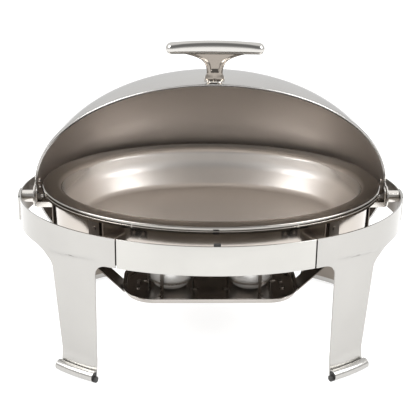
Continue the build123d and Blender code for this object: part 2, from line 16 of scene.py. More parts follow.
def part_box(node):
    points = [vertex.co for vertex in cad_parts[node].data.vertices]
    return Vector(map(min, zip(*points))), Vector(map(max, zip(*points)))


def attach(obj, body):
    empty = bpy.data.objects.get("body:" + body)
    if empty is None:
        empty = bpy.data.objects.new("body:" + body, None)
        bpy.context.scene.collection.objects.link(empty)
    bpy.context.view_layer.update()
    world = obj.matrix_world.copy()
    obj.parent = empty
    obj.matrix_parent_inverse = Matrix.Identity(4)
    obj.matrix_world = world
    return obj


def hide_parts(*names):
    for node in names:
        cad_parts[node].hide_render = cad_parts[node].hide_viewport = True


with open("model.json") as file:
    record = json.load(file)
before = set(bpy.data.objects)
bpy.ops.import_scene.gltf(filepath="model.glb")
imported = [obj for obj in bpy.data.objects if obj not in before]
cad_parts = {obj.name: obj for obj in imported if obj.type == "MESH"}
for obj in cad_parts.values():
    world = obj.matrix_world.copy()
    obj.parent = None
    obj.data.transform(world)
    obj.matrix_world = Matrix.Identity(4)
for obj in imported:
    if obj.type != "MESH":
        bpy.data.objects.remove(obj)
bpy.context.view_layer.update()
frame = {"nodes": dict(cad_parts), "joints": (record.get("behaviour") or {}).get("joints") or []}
joints = {joint["name"]: joint for joint in frame["joints"]}
MM = 0.001

# ---- places taken from the frame ----
pivot = Vector(joints["lid_roll"]["pos_m"])
panel_low, panel_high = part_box("front_panel")
leg_low, leg_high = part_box("front_right_leg")
BAND_A = leg_high.x
BAND_B = -panel_low.y
BAND_TOP = panel_high.z
BAND_BOTTOM = panel_low.z
SEAM_X = leg_low.x
SHEET = 2 * MM

_, shell_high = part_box("lid_shell")
HEM = 2.2 * MM
LID_RADIUS = shell_high.y
LID_A = 282 * MM
LID_SHEET = 1.2 * MM
LID_RIM = 18 * MM
DOME_TOP_SHARE = 0.9965           # the rings stop just short of the dome's top
LID_OPEN = radians(-joints["lid_roll"]["range_deg"][0])

water_low, water_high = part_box("water_pan")
food_low, food_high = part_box("food_pan")
tray_low, tray_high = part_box("burner_tray")
cup_low, cup_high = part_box("right_fuel_cup")
handle_low, handle_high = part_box("lid_handle")

LID_X = Vector((1, 0, 0))
LID_Y = Vector((0, cos(LID_OPEN), -sin(LID_OPEN)))
LID_UP = Vector((0, sin(LID_OPEN), cos(LID_OPEN)))


# ---- mesh helpers ----
def mesh_object(name, points, faces, body, materials, replaced=(), marks=None, crisp=35):
    """A mesh piece that rides on a body, takes its finish from a slot and stands for CAD nodes."""
    mesh = bpy.data.meshes.new(name)
    mesh.from_pydata([tuple(p) for p in points], [], faces)
    for material in materials:
        mesh.materials.append(material)
    if marks is not None:
        mesh.polygons.foreach_set("material_index", marks)
    mesh.polygons.foreach_set("use_smooth", [True] * len(mesh.polygons))
    mesh.update()
    mesh.set_sharp_from_angle(angle=radians(crisp))
    piece = bpy.data.objects.new(name, mesh)
    bpy.context.scene.collection.objects.link(piece)
    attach(piece, body)
    if replaced:
        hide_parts(*replaced)
    return piece


def loop_faces(rings, around, closed_rings, closed_around):
    """Quads between rings of points; row by row, each ring holding the given number of points."""
    faces = []
    for i in range(rings if closed_rings else rings - 1):
        for j in range(around if closed_around else around - 1):
            a, b = i * around + j, i * around + (j + 1) % around
            k = (i + 1) % rings
            c, d = k * around + (j + 1) % around, k * around + j
            faces.append((a, b, c, d))
    return faces


def rounded(corners, steps=5, closed=True):
    """A flat line through corners (u, v, radius), with each corner rounded by its radius."""
    count = len(corners)
    line = []
    for i, (u, v, radius) in enumerate(corners):
        here = np.array((u, v), float)
        if radius <= 0 or (not closed and i in (0, count - 1)):
            line.append(tuple(here))
            continue
        back = np.array(corners[i - 1][:2], float) - here
        on = np.array(corners[(i + 1) % count][:2], float) - here
        back /= np.linalg.norm(back)
        on /= np.linalg.norm(on)
        half = acos(max(-1, min(1, float(back @ on)))) / 2
        reach = radius / np.tan(half)
        middle = here + (back + on) / np.linalg.norm(back + on) * radius / sin(half)
        start, stop = here + back * reach - middle, here + on * reach - middle
        angle = atan2(start[1], start[0])
        turn = (atan2(stop[1], stop[0]) - angle + pi) % (2 * pi) - pi
        for k in range(steps + 1):
            at = angle + turn * k / steps
            line.append((middle[0] + radius * cos(at), middle[1] + radius * sin(at)))
    return line


def oval_body(profile, around, closed_profile, angles=None):
    """Points and faces of a profile of (a, b, z) rings carried round an oval."""
    full = angles is None
    if full:
        angles = [2 * pi * k / around for k in range(around)]
    points = [(a * cos(t), b * sin(t), z) for a, b, z in profile for t in angles]
    faces = loop_faces(len(profile), len(angles), closed_profile, full)
    if not full:
        count = len(angles)
        for end in (0, count - 1):
            ring = [k * count + end for k in range(len(profile))]
            faces.append(tuple(ring if end == 0 else reversed(ring)))
    return points, faces


def smooth_step(low, high, value):
    t = max(0.0, min(1.0, (value - low) / (high - low)))
    return t * t * (3 - 2 * t)


# ---- materials ----
def node_material(name):
    material = bpy.data.materials.new(name)
    material.use_nodes = True
    nodes, links = material.node_tree.nodes, material.node_tree.links
    return material, nodes, links, nodes["Principled BSDF"]


def add_node(nodes, kind, settings=(), **inputs):
    node = nodes.new(kind)
    for key, value in dict(settings).items():
        setattr(node, key, value)
    for key, value in inputs.items():
        node.inputs[key.replace("_", " ")].default_value = value
    return node


def ramp(nodes, links, source, stops):
    node = nodes.new("ShaderNodeValToRGB")
    elements = node.color_ramp.elements
    while len(elements) < len(stops):
        elements.new(0.5)
    for element, (place, colour) in zip(elements, stops):
        element.position = place
        element.color = (*colour, 1) if len(colour) == 3 else (colour[0],) * 3 + (1,)
    links.new(source, node.inputs["Fac"])
    return node.outputs["Color"]


def steel(name, tint, rough, spread, scratch, cloud=9.0, stretch=(1, 1, 1), bump=0.02):
    """Stainless steel: tint and roughness that drift a little, with fine polishing lines."""
    material, nodes, links, shader = node_material(name)
    place = add_node(nodes, "ShaderNodeTexCoord")
    drift = add_node(nodes, "ShaderNodeTexNoise", Scale=cloud, Detail=4.0, Roughness=0.55)
    links.new(place.outputs["Object"], drift.inputs["Vector"])
    grain_map = add_node(nodes, "ShaderNodeMapping")
    grain_map.inputs["Scale"].default_value = stretch
    links.new(place.outputs["Object"], grain_map.inputs["Vector"])
    grain = add_node(nodes, "ShaderNodeTexNoise", Scale=scratch, Detail=6.0, Roughness=0.7)
    links.new(grain_map.outputs["Vector"], grain.inputs["Vector"])
    darker = tuple(c * 0.93 for c in tint)
    colour = ramp(nodes, links, drift.outputs["Fac"], ((0.3, darker), (0.7, tint)))
    links.new(colour, shader.inputs["Base Color"])
    low = ramp(nodes, links, drift.outputs["Fac"], ((0.25, (rough,)), (0.8, (rough + spread,))))
    mix = add_node(nodes, "ShaderNodeMix", {"data_type": "FLOAT"})
    mix.inputs["Factor"].default_value = 0.25
    links.new(low, mix.inputs["A"])
    fine = ramp(
        nodes, links, grain.outputs["Fac"], ((0.3, (rough * 0.8,)), (0.75, (rough + 2 * spread,)))
    )
    links.new(fine, mix.inputs["B"])
    links.new(mix.outputs["Result"], shader.inputs["Roughness"])
    relief = add_node(nodes, "ShaderNodeBump", Strength=bump, Distance=0.001)
    links.new(grain.outputs["Fac"], relief.inputs["Height"])
    links.new(relief.outputs["Normal"], shader.inputs["Normal"])
    shader.inputs["Metallic"].default_value = 1.0
    return material


def polished_flange_with_painted_shade(material):
    """Turns a pan's satin to a mirror-polished finish outside the mouth of its well, with a darker tint
    there that is painted shade.
    """
    nodes, links = material.node_tree.nodes, material.node_tree.links
    shader = nodes["Principled BSDF"]
    place = add_node(nodes, "ShaderNodeTexCoord")
    squeeze = add_node(nodes, "ShaderNodeVectorMath", {"operation": "MULTIPLY"})
    squeeze.inputs[1].default_value = (1 / food_high.x, 1 / food_high.y, 0)
    links.new(place.outputs["Object"], squeeze.inputs[0])
    reach = add_node(nodes, "ShaderNodeVectorMath", {"operation": "LENGTH"})
    links.new(squeeze.outputs["Vector"], reach.inputs[0])
    share = ramp(nodes, links, reach.outputs["Value"], ((0.855, (0.0,)), (0.91, (1.0,))))
    # the flange's low roughness is a real mirror-polished finish; its dark tint is painted shade
    for socket, kind, polish_and_shade in (
        ("Base Color", "RGBA", (0.31, 0.295, 0.275, 1)), ("Roughness", "FLOAT", 0.07),
    ):
        mix = add_node(nodes, "ShaderNodeMix", {"data_type": kind})
        links.new(share, mix.inputs["Factor"])
        sockets = [i for i in mix.inputs if i.type == ("RGBA" if kind == "RGBA" else "VALUE")][-2:]
        links.new(shader.inputs[socket].links[0].from_socket, sockets[0])
        sockets[1].default_value = polish_and_shade
        result = [o for o in mix.outputs if o.type == sockets[0].type][0]
        links.new(result, shader.inputs[socket])
    return material


polished = steel("polished_stainless", (0.485, 0.475, 0.452), 0.07, 0.05, 900, bump=0.012)
leg_steel = steel("leg_stainless", (0.425, 0.415, 0.397), 0.17, 0.06, 700, bump=0.02)
lid_polish = steel("lid_outside_stainless", (0.49, 0.48, 0.465), 0.12, 0.05, 700, bump=0.015)
# Partly painted shade: the inner faces of the band and legs, and the tray straps, get this dark brownish
# steel. It is partly the unpolished back of the sheet and partly shade painted in, which also darkens
# their reflection in the pans.
inner_side_shaded_steel = steel("inner_side_painted_shade_stainless", (0.21, 0.185, 0.16), 0.26, 0.10, 300, bump=0.04)
water_steel = steel("water_pan_stainless", (0.47, 0.43, 0.39), 0.10, 0.06, 600, bump=0.02)
lid_satin = steel(
    "lid_inside_satin", (0.64, 0.585, 0.54), 0.42, 0.07, 900, cloud=3.0, stretch=(1, 4, 4), bump=0.012
)
pan_satin = steel(
    "food_pan_satin", (0.78, 0.745, 0.71), 0.33, 0.07, 900, cloud=3.0, stretch=(1, 3, 1), bump=0.012
)
pan_satin = polished_flange_with_painted_shade(pan_satin)
dull_steel = steel("plain_stainless", (0.30, 0.27, 0.245), 0.30, 0.10, 260, bump=0.05)
# Painted shade: the seam plates behind the band's seam gaps are near black, so the gaps read as dark
# shaded lines.
seam_plate_shade_steel = steel("seam_plate_painted_shade", (0.035, 0.032, 0.030), 0.45, 0.10, 260, bump=0.05)
cup_steel = steel("fuel_cup_stainless", (0.90, 0.89, 0.87), 0.20, 0.05, 700, bump=0.015)
cup_steel.node_tree.nodes["Principled BSDF"].inputs["Metallic"].default_value = 0.4
bright_part = steel("bright_fasteners", (0.72, 0.69, 0.65), 0.16, 0.08, 500, bump=0.03)
cage_steel = steel("cage_stainless", (0.30, 0.275, 0.25), 0.25, 0.08, 300, bump=0.04)


def rubber(name, tint):
    """Dull black moulding with a fine grain."""
    material, nodes, links, shader = node_material(name)
    place = add_node(nodes, "ShaderNodeTexCoord")
    grain = add_node(nodes, "ShaderNodeTexNoise", Scale=900.0, Detail=5.0)
    links.new(place.outputs["Object"], grain.inputs["Vector"])
    lighter = tuple(c * 1.8 for c in tint)
    links.new(
        ramp(nodes, links, grain.outputs["Fac"], ((0.35, tint), (0.8, lighter))),
        shader.inputs["Base Color"],
    )
    links.new(
        ramp(nodes, links, grain.outputs["Fac"], ((0.3, (0.55,)), (0.8, (0.75,)))),
        shader.inputs["Roughness"],
    )
    relief = add_node(nodes, "ShaderNodeBump", Strength=0.15, Distance=0.0005)
    links.new(grain.outputs["Fac"], relief.inputs["Height"])
    links.new(relief.outputs["Normal"], shader.inputs["Normal"])
    return material


black_rubber = rubber("black_rubber", (0.018, 0.017, 0.016))


def dress(material, *names):
    """Gives carried-over CAD nodes a material."""
    for name in names:
        data = frame["nodes"][name].data
        data.materials.clear()
        data.materials.append(material)
        for polygon in data.polygons:
            polygon.material_index = 0


def face_marks(points, faces, chooser):
    """The material number of each face, chosen from its middle."""
    marks = []
    for face in faces:
        marks.append(chooser(sum((Vector(points[i]) for i in face), Vector()) / len(face)))
    return marks


# ---- the oval band ----
BAND_STEPS = 160
SEAM_GAP = 2.2 * MM


def inside_band(p):
    inner = 1 - SHEET * 0.8 / BAND_B
    return 1 if hypot(p.x / BAND_A, p.y / BAND_B) < inner else 0


def band_profile():
    edge = 0.5 * MM
    corners = (
        (0, BAND_TOP, edge), (-SHEET, BAND_TOP, edge),
        (-SHEET, BAND_BOTTOM, edge), (0, BAND_BOTTOM, edge),
    )
    return [(BAND_A + u, BAND_B + u, z) for u, z in rounded(corners, 3)]


for side, name in ((-1, "front"), (1, "rear")):
    end = acos((SEAM_X - SEAM_GAP) / BAND_A)
    angles = [side * (end + (pi - 2 * end) * k / BAND_STEPS) for k in range(BAND_STEPS + 1)]
    points, faces = oval_body(band_profile(), 0, True, angles)
    # the inner faces take the dark inner steel, which is partly painted shade
    mesh_object(
        f"{name}_band_panel", points, faces, "frame", [polished, inner_side_shaded_steel],
        [f"{name}_panel"], marks=face_marks(points, faces, inside_band),
    )


# ---- the legs ----
LEG_IN = 177 * MM
LEG_SCALE = 250 * MM               # about the length of one radian of the angle, near the legs
LEG_OUT_TOP = 246 * MM
LEG_OUT_FOOT = 233 * MM
FOOT_Z = 8.8 * MM
ROLL = 7.5 * MM                     # centre line of the rolled foot
ROLL_TURN = radians(318)
GRID = 3.0 * MM
CREASE_STEP = 0.8 * MM            # depth of the small step under the crease


def oval_frame(t):
    """Point and outward direction on the band's outer face, front right, at the angle t."""
    point = Vector((BAND_A * cos(t), -BAND_B * sin(t), 0))
    normal = Vector((point.x / BAND_A**2, point.y / BAND_B**2, 0)).normalized()
    return point, normal


def flat_share(t):
    """How far inward of the oval the flat of the leg lies at the angle t."""
    ends = [acos(x / BAND_A) for x in (LEG_OUT_TOP + 6 * MM, LEG_IN - 6 * MM)]
    (first, _), (last, _) = oval_frame(ends[0]), oval_frame(ends[1])
    point, normal = oval_frame(t)
    if not ends[0] < t < ends[1]:
        return 0.0
    along = (last - first).normalized()
    across = Vector((-along.y, along.x, 0))
    gap = (point - first).dot(across)
    return abs(gap / normal.dot(across))


def leg_point(t, v, side):
    """A point of the leg's sheet: v is its height, and below the foot's level it follows the roll."""
    point, normal = oval_frame(t)
    depth = -SHEET / 2 + side * SHEET / 2
    share = (t - acos(LEG_OUT_TOP / BAND_A)) / (acos(LEG_IN / BAND_A) - acos(LEG_OUT_TOP / BAND_A))
    crease = BAND_BOTTOM + (1 + 9 * max(0, min(1, share))) * MM
    within = smooth_step(-0.10, 0.04, share) * smooth_step(1.10, 0.96, share)
    inward = flat_share(t) * smooth_step(crease, crease - 7 * MM, v)
    inward += CREASE_STEP * within * smooth_step(crease, crease - 3 * MM, v)
    inward *= smooth_step(FOOT_Z, FOOT_Z + 26 * MM, v)
    if v >= FOOT_Z:
        return point + normal * (depth - inward) + Vector((0, 0, v))
    turn = (FOOT_Z - v) / ROLL
    radius = ROLL - side * SHEET / 2
    out = -SHEET / 2 + ROLL - radius * cos(turn)
    return point + normal * out + Vector((0, 0, FOOT_Z - radius * sin(turn)))


def leg_outline():
    """The sheet's outline as (angle, v) points: the band's end part, and the leg down to the roll."""
    foot_v = FOOT_Z - ROLL * ROLL_TURN
    end_t = 0.4 * MM / BAND_B
    corners = (
        (SEAM_X, BAND_TOP, 0), (BAND_A * cos(end_t), BAND_TOP, 0),
        (BAND_A * cos(end_t), BAND_BOTTOM, 0), (LEG_OUT_TOP + 1 * MM, BAND_BOTTOM, 30 * MM),
        (LEG_OUT_FOOT, FOOT_Z, 0), (LEG_OUT_FOOT, foot_v, 0), (LEG_IN + 1 * MM, foot_v, 0),
        (LEG_IN + 1 * MM, FOOT_Z, 0), (LEG_IN, BAND_BOTTOM, 18 * MM), (SEAM_X, BAND_BOTTOM, 0),
    )
    line = rounded(corners, 14)
    dense = []
    for i, (x0, v0) in enumerate(line):
        x1, v1 = line[(i + 1) % len(line)]
        t0, t1 = acos(min(1, x0 / BAND_A)), acos(min(1, x1 / BAND_A))
        steps = max(1, int(hypot((t1 - t0) * LEG_SCALE, v1 - v0) / (GRID * 0.8)))
        dense += [(t0 + (t1 - t0) * k / steps, v0 + (v1 - v0) * k / steps) for k in range(steps)]
    return dense


def sheet_mesh(outline, spacing, scale):
    """Triangles of a flat outline (t, v), filled with a grid of points; t is scaled to a length."""
    low_t, high_t = min(t for t, _ in outline), max(t for t, _ in outline)
    low_v, high_v = min(v for _, v in outline), max(v for _, v in outline)
    rim = [Vector((t * scale, v)) for t, v in outline]
    edges = [(i, (i + 1) % len(rim)) for i in range(len(rim))]
    inner = []
    rows = int((high_v - low_v) / spacing)
    columns = int((high_t - low_t) * scale / spacing)
    flat = np.array([(p.x, p.y) for p in rim])
    ahead = np.roll(flat, -1, axis=0)
    for i in range(1, rows):
        for j in range(1, columns):
            p = np.array((low_t * scale + j * spacing, low_v + i * spacing))
            crossing = (flat[:, 1] > p[1]) != (ahead[:, 1] > p[1])
            with np.errstate(divide="ignore", invalid="ignore"):
                at = flat[:, 0] + (p[1] - flat[:, 1]) / (ahead[:, 1] - flat[:, 1]) * (ahead - flat)[:, 0]
            if np.count_nonzero(crossing & (p[0] < at)) % 2 == 0:
                continue
            if np.min(np.hypot(*(flat - p).T)) > 0.6 * spacing:
                inner.append(Vector(p))
    points, _, triangles, *_ = delaunay_2d_cdt(rim + inner, edges, [], 1, 1e-7)
    return [(p.x / scale, p.y) for p in points], triangles, len(rim)


outline = leg_outline()
flat_points, triangles, rim_count = sheet_mesh(outline, GRID, LEG_SCALE)
front = [leg_point(t, v, 1) for t, v in flat_points]
back = [leg_point(t, v, -1) for t, v in flat_points]
count = len(front)
leg_faces = [tuple(f) for f in triangles] + [tuple(i + count for i in reversed(f)) for f in triangles]
leg_faces += [(i, i + count, (i + 1) % rim_count + count, (i + 1) % rim_count) for i in range(rim_count)]
# faces on the inner side above the roll take the dark inner steel, which is partly painted shade
inner_marks = [1 if min(flat_points[i][1] for i in f) > FOOT_Z + 2 * MM else 0 for f in triangles]
leg_marks = [0] * len(triangles) + inner_marks + [0] * rim_count
for name, sx, sy in (
    ("front_right", 1, 1), ("front_left", -1, 1), ("rear_right", 1, -1), ("rear_left", -1, -1),
):
    turned = sx * sy < 0
    points = [(p.x * sx, p.y * sy, p.z) for p in front + back]
    faces = [tuple(reversed(f)) for f in leg_faces] if turned else leg_faces
    mesh_object(
        f"{name}_leg_sheet", points, faces, "frame", [leg_steel, inner_side_shaded_steel],
        [f"{name}_leg"], marks=leg_marks, crisp=40,
    )


# ---- the pans ----
def pan_piece(node, upper_side, lower_side, around=288):
    """A deep oval pan from the lines of its upper and lower side, both run from rim to floor."""
    _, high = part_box(node)
    upper = rounded(upper_side, 10, closed=False)
    lower = list(reversed(rounded(lower_side, 10, closed=False)))
    rings = [(high.x + u, high.y + u, high.z + w) for u, w in upper + lower]
    top_count = len(upper)
    # the floor: rings that shrink to the middle, above and below the sheet
    shares = [0.97, 0.9, 0.75, 0.6, 0.45, 0.3, 0.15, 0.06]
    floor_top = rings[top_count - 1]
    floor_bottom = rings[top_count]
    middle = [(floor_top[0] * s, floor_top[1] * s, floor_top[2]) for s in shares]
    middle += [(floor_top[0] * s, floor_top[1] * s, floor_bottom[2]) for s in reversed(shares)]
    rings = rings[:top_count] + middle + rings[top_count:]
    points, _ = oval_body(rings, around, True)
    faces = []
    cut = top_count + len(shares) - 1
    for i in range(len(rings)):
        if i == cut:
            continue
        k = (i + 1) % len(rings)
        for j in range(around):
            n = (j + 1) % around
            faces.append((i * around + j, i * around + n, k * around + n, k * around + j))
    faces.append(tuple(cut * around + j for j in range(around)))
    faces.append(tuple((cut + 1) * around + j for j in reversed(range(around))))
    return points, [tuple(reversed(f)) for f in faces]


PAN_SHEET = 1.2 * MM
RIM_DROP = 5.5 * MM
food_depth = food_high.z - food_low.z
points, faces = pan_piece(
    "food_pan",
    [
        (0, -RIM_DROP, 0), (0, 0, 1.6 * MM), (-30 * MM, 0, 10 * MM), (-34 * MM, -26 * MM, 46 * MM),
        (-56 * MM, -food_depth + PAN_SHEET, 15 * MM), (-96 * MM, -food_depth + PAN_SHEET, 0),
    ],
    [
        (-1.2 * MM, -RIM_DROP, 0), (-1.2 * MM, -PAN_SHEET, 0.5 * MM), (-28.8 * MM, -PAN_SHEET, 8.8 * MM),
        (-32.9 * MM, -26.4 * MM, 47 * MM), (-55.1 * MM, -food_depth, 16 * MM), (-96 * MM, -food_depth, 0),
    ],
)
mesh_object(
    "food_pan_sheet", points, faces, "food_pan", [pan_satin], ["food_pan"], crisp=50
)
water_depth = water_high.z - water_low.z
points, faces = pan_piece(
    "water_pan",
    [
        (0, -RIM_DROP, 0), (0, 0, 1.6 * MM), (-17.2 * MM, 0, 3.2 * MM),
        (-19 * MM, -water_depth + PAN_SHEET, 27 * MM), (-77 * MM, -water_depth + PAN_SHEET, 0),
    ],
    [
        (-1.2 * MM, -RIM_DROP, 0), (-1.2 * MM, -PAN_SHEET, 0.5 * MM), (-16 * MM, -PAN_SHEET, 2 * MM),
        (-17.8 * MM, -water_depth, 28 * MM), (-77 * MM, -water_depth, 0),
    ],
)
mesh_object(
    "water_pan_sheet", points, faces, "water_pan", [water_steel], ["water_pan"],
    crisp=50,
)

# ---- the lid ----
LID_AROUND = 320
LID_RINGS = 72


def lid_place(x, y, z):
    """A point in the closed lid's own axes, put where the open lid has it."""
    return pivot + LID_X * x + LID_Y * y + LID_UP * z


def dome_rings(thin, low_z):
    a, r = LID_A - thin, LID_RADIUS - thin
    start = np.arcsin(low_z / r)
    rings = []
    for k in range(LID_RINGS):
        lift = start + (pi / 2 - start) * k / (LID_RINGS - 1) * DOME_TOP_SHARE
        rings.append((a * cos(lift), r * cos(lift), r * sin(lift)))
    return rings


outer = dome_rings(0, LID_RIM)
inner = dome_rings(LID_SHEET, LID_RIM)
rings = list(reversed(outer)) + inner
angles = [2 * pi * k / LID_AROUND for k in range(LID_AROUND)]
points = [lid_place(a * cos(t), b * sin(t), z) for a, b, z in rings for t in angles]
faces = loop_faces(len(rings), LID_AROUND, False, True)
marks = [0] * (LID_AROUND * LID_RINGS) + [1] * (LID_AROUND * (LID_RINGS - 1))
for ring, z, mark in ((0, LID_RADIUS, 0), (len(rings) - 1, LID_RADIUS - LID_SHEET, 1)):
    apex = len(points)
    points.append(lid_place(0, 0, z))
    for j in range(LID_AROUND):
        pair = (ring * LID_AROUND + j, ring * LID_AROUND + (j + 1) % LID_AROUND)
        faces.append((apex, pair[1], pair[0]) if ring == 0 else (apex, pair[0], pair[1]))
        marks.append(mark)
mesh_object(
    "lid_dome", points, faces, "lid", [lid_polish, lid_satin], ["lid_shell"],
    marks=marks, crisp=50,
)

# the bead along the lid's rim, left open at the two ears
rim_share = sqrt(1 - (LID_RIM / LID_RADIUS) ** 2)
rim_a, rim_b = LID_A * rim_share, LID_RADIUS * rim_share
BEAD = (
    (HEM, LID_RIM, 1.0 * MM), (HEM, LID_RIM + 7 * MM, 1.0 * MM),
    (-1.0 * MM, LID_RIM + 7 * MM, 0.3 * MM), (-0.6 * MM, LID_RIM, 0.3 * MM),
)
bead_line = rounded(BEAD, 5)
EAR_GAP = 15 * MM
BEAD_STEPS = 240
for side, name in ((-1, "front"), (1, "rear")):
    end = np.arcsin(EAR_GAP / rim_b)
    angles = [side * (end + (pi - 2 * end) * k / BEAD_STEPS) for k in range(BEAD_STEPS + 1)]
    points = [
        lid_place((rim_a + u) * cos(t), (rim_b + u) * sin(t), z) for u, z in bead_line for t in angles
    ]
    faces = loop_faces(len(bead_line), len(angles), True, False)
    for at in (0, len(angles) - 1):
        ring = [k * len(angles) + at for k in range(len(bead_line))]
        faces.append(tuple(ring if at else reversed(ring)))
    if side > 0:
        faces = [tuple(reversed(f)) for f in faces]
    mesh_object(f"lid_rim_bead_{name}", points, faces, "lid", [lid_polish])

# ---- the handle ----
HANDLE_ANGLE = radians(80.7)
HANDLE_OUT = Vector((0, -cos(HANDLE_ANGLE), sin(HANDLE_ANGLE)))
HANDLE_BACK = Vector((0, sin(HANDLE_ANGLE), cos(HANDLE_ANGLE)))
HANDLE_FOOT = pivot + HANDLE_OUT * LID_RADIUS
REACH = 54 * MM
POST_LOW = 3.3 * MM
BAR_END = 8.5 * MM                # length of each round end of the bar
BAR_LOW = 8 * MM                  # twice the drop of the bar's middle line at its ends
POST_TOP = 45 * MM
BAR_LENGTH = handle_high.x - handle_low.x


def handle_place(x, y, z):
    return HANDLE_FOOT + LID_X * x + HANDLE_BACK * y + HANDLE_OUT * z


def signed_power(value, power):
    return abs(value) ** power * (1 if value > 0 else -1)


def handle_bar():
    """The bar: crowned along its top, nearly straight below, and round at its swelling ends."""
    stations, around = 96, 48
    half = BAR_LENGTH / 2
    points = []
    for i in range(stations + 1):
        x = half * sin((-1 + 2 * i / stations) * pi / 2)
        cap = max(0.0, (abs(x) - (half - BAR_END)) / BAR_END)
        ends = sqrt(max(0.0, 1 - cap**2))
        crown = 1 - (x / half) ** 2
        swell = smooth_step(0.62, 0.92, abs(x) / half)
        middle = -BAR_LOW / 2 + 2.0 * MM * crown
        tall = (8.1 + 2.4 * crown) * MM * ends
        deep = (8.6 - 0.8 * crown + 0.9 * swell) * MM * ends
        for j in range(around):
            t = 2 * pi * j / around
            y = deep * signed_power(cos(t), 0.9)
            z = middle + tall * signed_power(sin(t), 0.9)
            points.append(handle_place(x, y, REACH + z))
    faces = loop_faces(stations + 1, around, False, True)
    faces.append(tuple(reversed(range(around))))
    faces.append(tuple(stations * around + j for j in range(around)))
    return points, faces


def handle_post():
    """The post: a narrow neck, flared at its foot, that spreads into two flanks with a web between."""
    levels, around = 72, 96
    points = []
    for i in range(levels + 1):
        v = i / levels
        z = POST_LOW + (POST_TOP - POST_LOW) * v
        spread = max(0.0, (v - 0.22) / 0.78)
        foot = 2.6 * (1 - smooth_step(0, 0.22, v))
        width = (12.0 + foot + 9 * spread**1.6 + 36 * spread**4.5) * MM
        deep = (8.6 - 1.6 * smooth_step(0.0, 0.25, v) + 1.6 * smooth_step(0.5, 1.0, v)) * MM
        rib = (7.5 + 4.0 * spread) * MM
        for j in range(around):
            t = 2 * pi * j / around
            x = width * signed_power(cos(t), 0.75)
            y = deep * signed_power(sin(t), 0.7)
            web = smooth_step(width - 0.55 * rib, width - rib, abs(x)) * smooth_step(0.24, 0.40, v)
            groove = 0.18 * smooth_step(3.5 * MM, 0, abs(x)) * smooth_step(0.30, 0.12, v)
            points.append(handle_place(x, y * (1 - 0.52 * web - groove), z))
    faces = loop_faces(levels + 1, around, False, True)
    faces.append(tuple(reversed(range(around))))
    faces.append(tuple(levels * around + j for j in range(around)))
    marks = [1 if (j + 12) % 48 < 24 and web_face(points[i * around + j]) else 0
             for i in range(levels) for j in range(around)] + [0, 0]
    return points, faces, marks


def web_face(p):
    """Whether a point of the post lies on the web between its flanks."""
    z = (Vector(p) - HANDLE_FOOT).dot(HANDLE_OUT)
    spread = max(0.0, (z / POST_TOP - 0.22) / 0.78)
    return abs(p.x) < (4.5 + 5 * spread**1.6 + 24 * spread**4.5) * MM and z > 0.3 * POST_TOP


post_steel = steel("handle_post_stainless", (0.27, 0.24, 0.21), 0.14, 0.05, 800, bump=0.012)
web_steel = steel("handle_web_stainless", (0.74, 0.72, 0.69), 0.12, 0.05, 800, bump=0.012)
handle_steel = steel("handle_stainless", (0.52, 0.505, 0.48), 0.09, 0.05, 800, bump=0.012)
points, faces = handle_bar()
mesh_object(
    "handle_bar", points, faces, "lid", [handle_steel], ["lid_handle"], crisp=60
)
points, faces, marks = handle_post()
mesh_object(
    "handle_post", points, faces, "lid", [post_steel, web_steel], marks=marks,
    crisp=60,
)

# ---- the burner tray ----
def rounded_rectangle(half_x, half_y, radius, steps=16):
    line = []
    for turn, (cx, cy) in enumerate(((1, 1), (-1, 1), (-1, -1), (1, -1))):
        for k in range(steps + 1):
            t = (turn + k / steps) * pi / 2
            line.append(
                (cx * (half_x - radius) + radius * cos(t), cy * (half_y - radius) + radius * sin(t))
            )
    return line


TRAY_CORNER = 51 * MM
tray_profile = rounded([
    (0, -1.2 * MM, 0.4 * MM), (0, 0, 0.9 * MM), (-4.2 * MM, 0, 1.4 * MM),
    (-5.2 * MM, -9.3 * MM, 4 * MM), (-30 * MM, -9.3 * MM, 0),
], 5, closed=False)
tray_under = rounded([
    (-30 * MM, -10.5 * MM, 0), (-4.0 * MM, -10.5 * MM, 5 * MM),
    (-3.0 * MM, -1.2 * MM, 1.0 * MM), (-0.4 * MM, -1.2 * MM, 0),
], 5, closed=False)
tray_rings = tray_profile + tray_under
tray_points = []
for inset, drop in tray_rings:
    for x, y in rounded_rectangle(tray_high.x + inset, tray_high.y + inset, TRAY_CORNER + inset):
        tray_points.append((x, y, tray_high.z + drop))
around = len(tray_points) // len(tray_rings)
tray_faces = []
cut = len(tray_profile) - 1
for i in range(len(tray_rings)):
    if i == cut:
        continue
    k = (i + 1) % len(tray_rings)
    for j in range(around):
        n = (j + 1) % around
        tray_faces.append((i * around + j, k * around + j, k * around + n, i * around + n))
tray_faces.append(tuple(cut * around + j for j in range(around)))
tray_faces.append(tuple((cut + 1) * around + j for j in reversed(range(around))))
tray_steel = steel("tray_stainless", (0.50, 0.47, 0.44), 0.16, 0.06, 500, bump=0.02)
mesh_object(
    "burner_tray_sheet", tray_points, tray_faces, "frame", [tray_steel],
    ["burner_tray"], crisp=45,
)


# ---- the fuel cups ----
def lathe(name, centre, line, around, body, materials, replaced=(), crisp=40):
    """A line of (radius, z) turned about an upright axis, closed by a flat at each end."""
    points = []
    for radius, z in line:
        for j in range(around):
            t = 2 * pi * j / around
            points.append((centre[0] + radius * cos(t), centre[1] + radius * sin(t), z))
    faces = loop_faces(len(line), around, False, True)
    faces.append(tuple(reversed(range(around))))
    faces.append(tuple((len(line) - 1) * around + j for j in range(around)))
    return mesh_object(name, points, faces, body, materials, replaced, crisp=crisp)


def plate(name, outline, low, high, body, material):
    """A flat plate of an outline (x, y) between two heights."""
    count = len(outline)
    points = [(x, y, low) for x, y in outline] + [(x, y, high) for x, y in outline]
    faces = [tuple(reversed(range(count))), tuple(range(count, 2 * count))]
    faces += [(i, (i + 1) % count, (i + 1) % count + count, i + count) for i in range(count)]
    return mesh_object(name, points, faces, body, [material])


